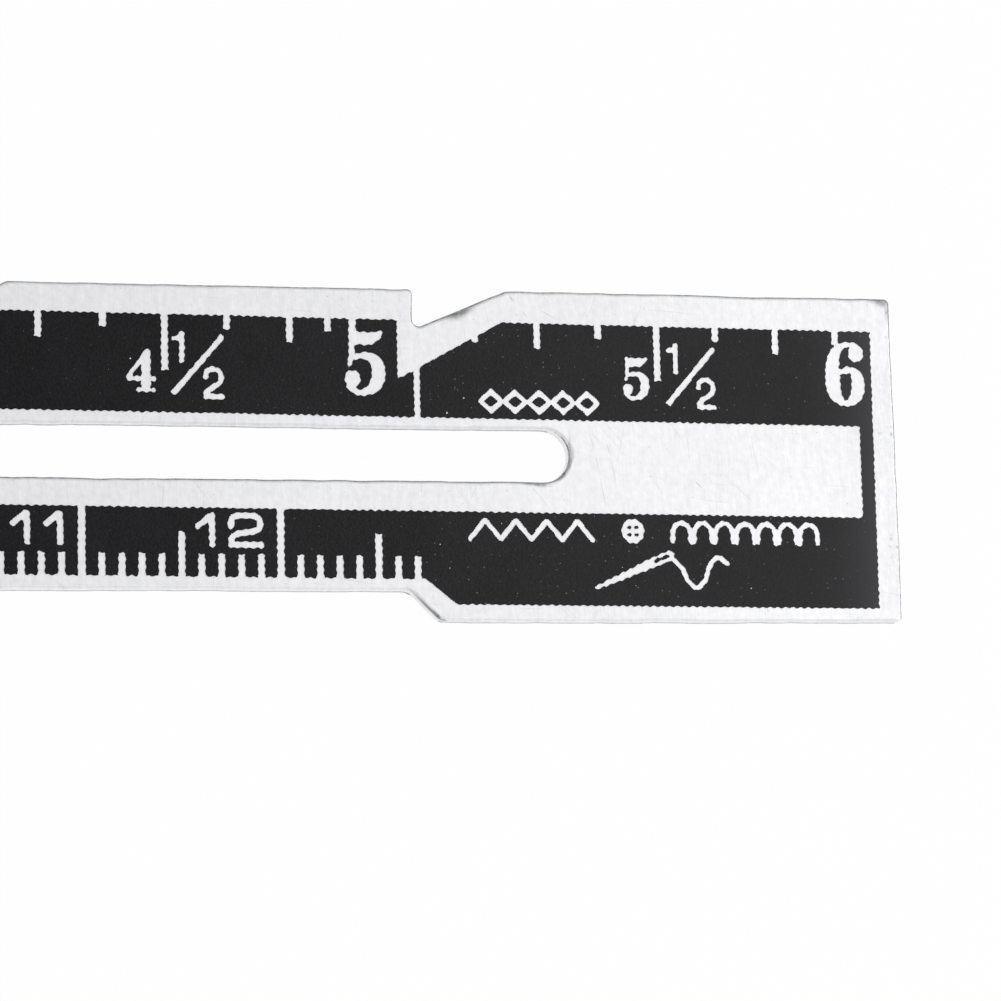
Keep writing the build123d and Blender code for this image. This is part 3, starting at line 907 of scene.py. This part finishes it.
def serrate():
    """Cuts the screen's threads into the ink's edges, and makes those edges a little ragged."""
    down, across = np.gradient(ink, GRID_MM)
    steep = down ** 2 + across ** 2 + GRID_MM ** 2
    level = down ** 4 / steep ** 2
    upright = across ** 4 / steep ** 2
    slanted = 2 * np.abs(down * across) / steep
    x, y = grid_x[None, :], grid_y[:, None]
    along_x = np.cos(math.tau * (x / THREAD_X_MM + THREAD_DRIFT * cloud(THREAD_DRIFT_SIZE_MM, 3)))
    along_y = np.cos(math.tau * (y / THREAD_Y_MM + THREAD_DRIFT * cloud(THREAD_DRIFT_SIZE_MM, 5)))
    stairs = np.cos(math.tau * x / MESH_MM) * np.cos(math.tau * y / MESH_MM)
    teeth = LEVEL_SERRATION_MM * along_x * level + UPRIGHT_SERRATION_MM * along_y * upright
    teeth *= 1 + TOOTH_UNEVEN * cloud(TOOTH_UNEVEN_SIZE_MM, 7)
    ink[:] += teeth + STAIR_MM * stairs * slanted + RAGGED_MM * cloud(RAGGED_SIZE_MM, 11)


def prick():
    """Pinholes where the screen was blocked, most of them in the wide end."""
    source = random.Random(19)
    for k in range(PINHOLE_COUNT):
        start = INCH_MM * WHOLE_INCHES if k % 3 else 0
        x = source.uniform(start, LENGTH_MM)
        y = source.uniform(WIDE_LOW_MM, INCH_HIGH_MM)
        radius = source.uniform(*PINHOLE_RADII_MM)
        row, column = round((y - grid_y[0]) / GRID_MM), round((x - grid_x[0]) / GRID_MM)
        if ink[row, column] > 2 * PINHOLE_RADII_MM[1]:
            window, near_x, near_y = near(x, y, x, y)
            ink[window] = np.minimum(ink[window], np.hypot(near_x - x, near_y - y) - radius)


def outlines():
    """Closed outlines round the inked parts of the grid, with the ink on their left."""
    rows, columns = ink.shape
    inked = ink > 0
    cells = [(0, 0), (0, 1), (1, 1), (1, 0)]
    corner = [inked[dy:rows - 1 + dy, dx:columns - 1 + dx] for dy, dx in cells]
    base = np.arange(rows - 1)[:, None] * columns + np.arange(columns - 1)[None, :]
    side = [2 * base, 2 * base + 3, 2 * (base + columns), 2 * base + 1]
    joined = sum(ink[dy:rows - 1 + dy, dx:columns - 1 + dx] for dy, dx in cells) > 0
    leaves = [corner[k] & ~corner[(k + 1) % 4] for k in range(4)]
    enters = [~corner[k] & corner[(k + 1) % 4] for k in range(4)]
    follow = {}
    for k in range(4):
        for turn in (1, 2, 3):
            met = leaves[k] & enters[(k + turn) % 4]
            if turn != 2:
                saddle = leaves[k] & leaves[(k + 2) % 4]
                met &= ~saddle | (joined if turn == 1 else ~joined)
            follow.update(zip(side[k][met].tolist(), side[(k + turn) % 4][met].tolist()))
    loops = []
    while follow:
        first, here = follow.popitem()
        loop = [first]
        while here != first:
            loop.append(here)
            here = follow.pop(here)
        loops.append(loop)
    return [crossings(loop) for loop in loops]


def crossings(loop):
    """The places where an outline crosses the grid's lines."""
    codes = np.array(loop)
    upright, cell = codes % 2, codes // 2
    row, column = np.divmod(cell, ink.shape[1])
    here = ink[row, column]
    there = ink[row + upright, column + 1 - upright]
    share = here / (here - there)
    x = grid_x[0] + GRID_MM * (column + share * (1 - upright))
    y = grid_y[0] + GRID_MM * (row + share * upright)
    return np.column_stack((x, y))


def thinned(loop):
    """A closed outline without the points that lie in line with their neighbours."""
    for _ in range(THINNING_PASSES):
        before, after = np.roll(loop, 1, axis=0), np.roll(loop, -1, axis=0)
        run, gap = after - before, loop - before
        off = np.abs(run[:, 0] * gap[:, 1] - run[:, 1] * gap[:, 0])
        spare = off < IN_LINE_MM * np.linalg.norm(run, axis=1)
        spare[1::2] = False
        if len(loop) - spare.sum() < FEWEST_POINTS:
            break
        loop = loop[~spare]
    return loop


def print_group(loop):
    """Which print node an outline belongs to, and which inch or centimetre of it."""
    x, y = (loop.min(axis=0) + loop.max(axis=0)) / 2
    pitch, last = (INCH_MM, INCH_MM * WHOLE_INCHES) if y > 0 else (CM_MM, CM_MM * WHOLE_CENTIMETRES)
    if x < pitch:
        return "zero_end_print", 0
    if x > last:
        return "wide_end_print", 0
    return ("inch_scale_print" if y > 0 else "centimetre_scale_print"), int(x // pitch)


def film(loops):
    """One area of ink as a thin closed mesh: its points and its faces."""
    flat = np.concatenate(loops)
    count = len(flat)
    turn = Matrix.Rotation(PRINT_SKEW, 2)
    placed = flat @ np.array(turn.transposed())
    placed += (ZERO_END / MM, -PRINT_DROP_MM)
    vertices = [(x, y, INK_TOP / MM) for x, y in placed]
    vertices += [(x, y, STRIP_FRONT / MM - INK_SINK_MM) for x, y in placed]
    faces = []
    for a, b, c in fill(loops):
        faces += [(a, b, c), (c + count, b + count, a + count)]
    start = 0
    for loop in loops:
        for k in range(len(loop)):
            a, b = start + k, start + (k + 1) % len(loop)
            faces.append((a, a + count, b + count, b))
        start += len(loop)
    return vertices, faces


def make_prints():
    """The four printed areas, each a film of ink with its marks left open."""
    groups = {}
    for loop in outlines():
        loop = thinned(loop)
        if len(loop) > 3:
            groups.setdefault(print_group(loop), []).append(loop)
    meshes = {}
    for (node, _), loops in sorted(groups.items(), key=lambda item: item[0]):
        vertices, faces = meshes.setdefault(node, ([], []))
        new_vertices, new_faces = film(loops)
        faces += [[i + len(vertices) for i in face] for face in new_faces]
        vertices += new_vertices
    pieces = []
    for node, (vertices, faces) in meshes.items():
        pieces.append(add_piece("ink_of_" + node, vertices, faces, "gauge_strip", node))
    return pieces


INK_PATCH_MM = (5.0, 5.0, 5.0)
INK_SKIN_MM = (0.13, 0.13, 0.13)
DUST_SPACING_MM = (0.42, 0.42, 1.0)
DUST_SHARE = 0.13
DUSTY_FROM_MM, DUSTY_TO_MM = 118.0, 129.0
SHEEN_FROM_MM, SHEEN_TO_MM, SHEEN_POWER = 138.0, 151.3, 8.0


def printed_enamel():
    """Screen-printed enamel ink: near black with a satin skin, a little uneven and grainy from the
    screen, with a painted sheen that makes it paler towards the strip's end, and a scatter of pale
    specks of dust, most of them at the wide end."""
    material, tree = new_material("screen_printed_black_enamel")
    place = add(tree, "TexCoord").outputs["Object"]
    patches = uneven(tree, place, INK_PATCH_MM, detail=3.0, low=0.38, high=0.62)
    skin = uneven(tree, place, INK_SKIN_MM, low=0.38, high=0.62)
    tone = add(tree, "Mix", {"Factor": 0.6, "A": patches, "B": skin})
    body = add(tree, "Mix", {
        "Factor": tone.outputs["Result"], "A": colour("#020205"), "B": colour("#17171a")},
        data_type="RGBA")
    along = add(tree, "SeparateXYZ", {"Vector": place})
    dusty = add(tree, "MapRange", {
        "Value": along.outputs["X"], "From Min": ZERO_END + DUSTY_FROM_MM * MM,
        "From Max": ZERO_END + DUSTY_TO_MM * MM, "To Min": 0.2, "To Max": 0.75})
    dust = marks(tree, place, DUST_SPACING_MM, DUST_SHARE, chosen_from=0.68)
    body = laid_over(tree, body.outputs["Result"], dust, dusty.outputs["Result"], "#8d8d90")
    # A painted sheen: the ink paler towards the strip's end.
    near_end = add(tree, "MapRange", {
        "Value": along.outputs["X"], "From Min": ZERO_END + SHEEN_FROM_MM * MM,
        "From Max": ZERO_END + SHEEN_TO_MM * MM})
    sheen = add(tree, "Math", {
        0: near_end.outputs["Result"], 1: SHEEN_POWER}, operation="POWER")
    body = laid_over(tree, body, sheen.outputs["Value"], 0.9, "#3c3c3f")
    bump = add(tree, "Bump", {"Height": skin, "Strength": 0.3, "Distance": 0.006 * MM})
    shade(tree, {"Base Color": body, "Roughness": 0.25, "Specular IOR Level": 0.21,
                 "Normal": bump.outputs["Normal"]})
    return material


grid_x = np.arange(0, LENGTH_MM + GRID_MM, GRID_MM)
grid_y = np.arange(-HALF_WIDTH_MM, HALF_WIDTH_MM + GRID_MM, GRID_MM)
ink = np.full((len(grid_y), len(grid_x)), -1.0)
print_inch_scale()
print_centimetre_scale()
print_end_bars()
print_motifs()
soften()
serrate()
prick()
enamel = printed_enamel()
for piece in make_prints():
    piece.data.materials.append(enamel)

# Slider
# Two mouldings in blue polystyrene: a pointer with a ribbed thumb pad in front, and a plate behind.
# The pointer's two pegs pass the slot and the plate, and their ends are staked flat.
MOULD_GRAIN_MM = 0.12
FLOW_MM = 4.0


def moulded_polystyrene():
    """Moulded blue polystyrene: a semi-gloss skin with a fine even grain from the mould, and faint
    cloudy flow in the colour."""
    material, tree = new_material("moulded_blue_polystyrene")
    place = add(tree, "TexCoord").outputs["Object"]
    flow = add(tree, "TexNoise", {
        "Vector": place, "Scale": 1 / (FLOW_MM * MM), "Detail": 3.0, "Distortion": 0.6})
    tint = add(tree, "Mix", {
        "Factor": flow.outputs["Fac"], "A": colour("#10509f"), "B": colour("#1e64b8")}, data_type="RGBA")
    grain = add(tree, "TexNoise", {"Vector": place, "Scale": 1 / (MOULD_GRAIN_MM * MM)})
    bump = add(tree, "Bump", {
        "Height": grain.outputs["Fac"], "Strength": 0.3, "Distance": 0.01 * MM})
    shade(tree, {"Base Color": tint.outputs["Result"], "Roughness": 0.3, "IOR": 1.59,
                 "Normal": bump.outputs["Normal"]})
    return material


polystyrene = moulded_polystyrene()
for node in ("slider_pointer", "slider_back_plate"):
    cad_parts[node].data.materials.clear()
    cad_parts[node].data.materials.append(polystyrene)

# Studio
# A plain white floor under a pale sky that is brightest at the horizon, with one wide softbox on the
# right, which makes the metal and the ink grow lighter towards the wide end.
FLOOR_SIZE = 6.0
FLOOR_GLOW = 0.97
FLOOR_GAP = 0.02 * MM
SKY_LOW, SKY_HIGH, SKY_ZENITH = 0.35, 0.8, 0.53
FAR_SIDE_FROM, FAR_SIDE_TO, FAR_SIDE = 0.1, 0.8, 0.65
SOFTBOX_AT = (0.54, 0.04, 0.62)
SOFTBOX_SIZE = (0.65, 0.8)
SOFTBOX_RADIANCE = 1.4


def add_floor():
    """The floor, which the camera and reflections see as white with a faint shadow."""
    bpy.ops.mesh.primitive_plane_add(size=FLOOR_SIZE, location=(0, 0, -FLOOR_GAP))
    floor = bpy.context.object
    floor.name = "studio_floor"
    material, tree = new_material("white_paper_floor")
    rays = add(tree, "LightPath")
    seen = rays.outputs["Is Camera Ray"]
    for kind in ("Is Glossy Ray", "Is Transmission Ray"):
        either = add(tree, "Math", {0: seen, 1: rays.outputs[kind]}, operation="MAXIMUM")
        seen = either.outputs["Value"]
    glow = add(tree, "Math", {0: seen, 1: FLOOR_GLOW}, operation="MULTIPLY")
    paper = add(tree, "BsdfDiffuse", {"Color": colour("#fafafa")})
    white = add(tree, "Emission", {"Color": (1, 1, 1, 1), "Strength": 1.0})
    surface = add(tree, "MixShader", {
        0: glow.outputs["Value"], 1: paper.outputs["BSDF"], 2: white.outputs["Emission"]})
    add(tree, "OutputMaterial", {"Surface": surface.outputs["Shader"]})
    floor.data.materials.append(material)


def add_sky():
    """A sky that is white at the horizon, greyer overhead and dimmer on the far side."""
    world = bpy.data.worlds.new("pale_sky")
    world.use_nodes = True
    tree = world.node_tree
    tree.nodes.clear()
    direction = add(tree, "TexCoord").outputs["Generated"]
    height = add(tree, "SeparateXYZ", {"Vector": direction})
    rise = add(tree, "MapRange", {
        "Value": height.outputs["Z"], "From Min": SKY_LOW, "From Max": SKY_HIGH,
        "To Min": 1.0, "To Max": SKY_ZENITH}, interpolation_type="SMOOTHSTEP")
    side = add(tree, "MapRange", {
        "Value": height.outputs["Y"], "From Min": FAR_SIDE_FROM, "From Max": FAR_SIDE_TO,
        "To Min": 1.0, "To Max": FAR_SIDE})
    glow = add(tree, "Math", {
        0: rise.outputs["Result"], 1: side.outputs["Result"]}, operation="MULTIPLY")
    light = add(tree, "Background", {"Color": (1, 1, 1, 1), "Strength": glow.outputs["Value"]})
    add(tree, "OutputWorld", {"Surface": light.outputs["Background"]})
    scene.world = world


def add_softbox():
    """A wide softbox that faces the strip."""
    light = bpy.data.lights.new("softbox", "AREA")
    light.shape = "RECTANGLE"
    light.size, light.size_y = SOFTBOX_SIZE
    light.energy = SOFTBOX_RADIANCE * math.pi * light.size * light.size_y
    softbox = bpy.data.objects.new("softbox", light)
    softbox.location = SOFTBOX_AT
    softbox.rotation_euler = Vector(SOFTBOX_AT).to_track_quat("Z", "Y").to_euler()
    scene.collection.objects.link(softbox)


# The camera's place and its right and backward directions, from a fit to the scales' marks.
CAMERA_AT_MM = (6.68, -36.06, 205.8)
CAMERA_RIGHT = (0.97360, -0.02821, 0.22662)
CAMERA_BACK = (-0.22820, -0.15892, 0.96056)
FOCAL_PIXELS = 4200
IMAGE_PIXELS = 1001
SENSOR_MM = 36.0


def add_camera():
    """The camera at the photograph's viewing angle."""
    data = bpy.data.cameras.new("camera")
    data.sensor_fit = "HORIZONTAL"
    data.sensor_width = SENSOR_MM
    data.lens = FOCAL_PIXELS * SENSOR_MM / IMAGE_PIXELS
    data.clip_start = 10 * MM
    camera = bpy.data.objects.new("camera", data)
    right, back = Vector(CAMERA_RIGHT), Vector(CAMERA_BACK)
    turned = Matrix((right, back.cross(right), back)).transposed()
    camera.matrix_world = Matrix.Translation(Vector(CAMERA_AT_MM) * MM) @ turned.to_4x4()
    scene.collection.objects.link(camera)
    scene.camera = camera


add_floor()
add_sky()
add_softbox()
add_camera()
scene.view_settings.view_transform = "Standard"
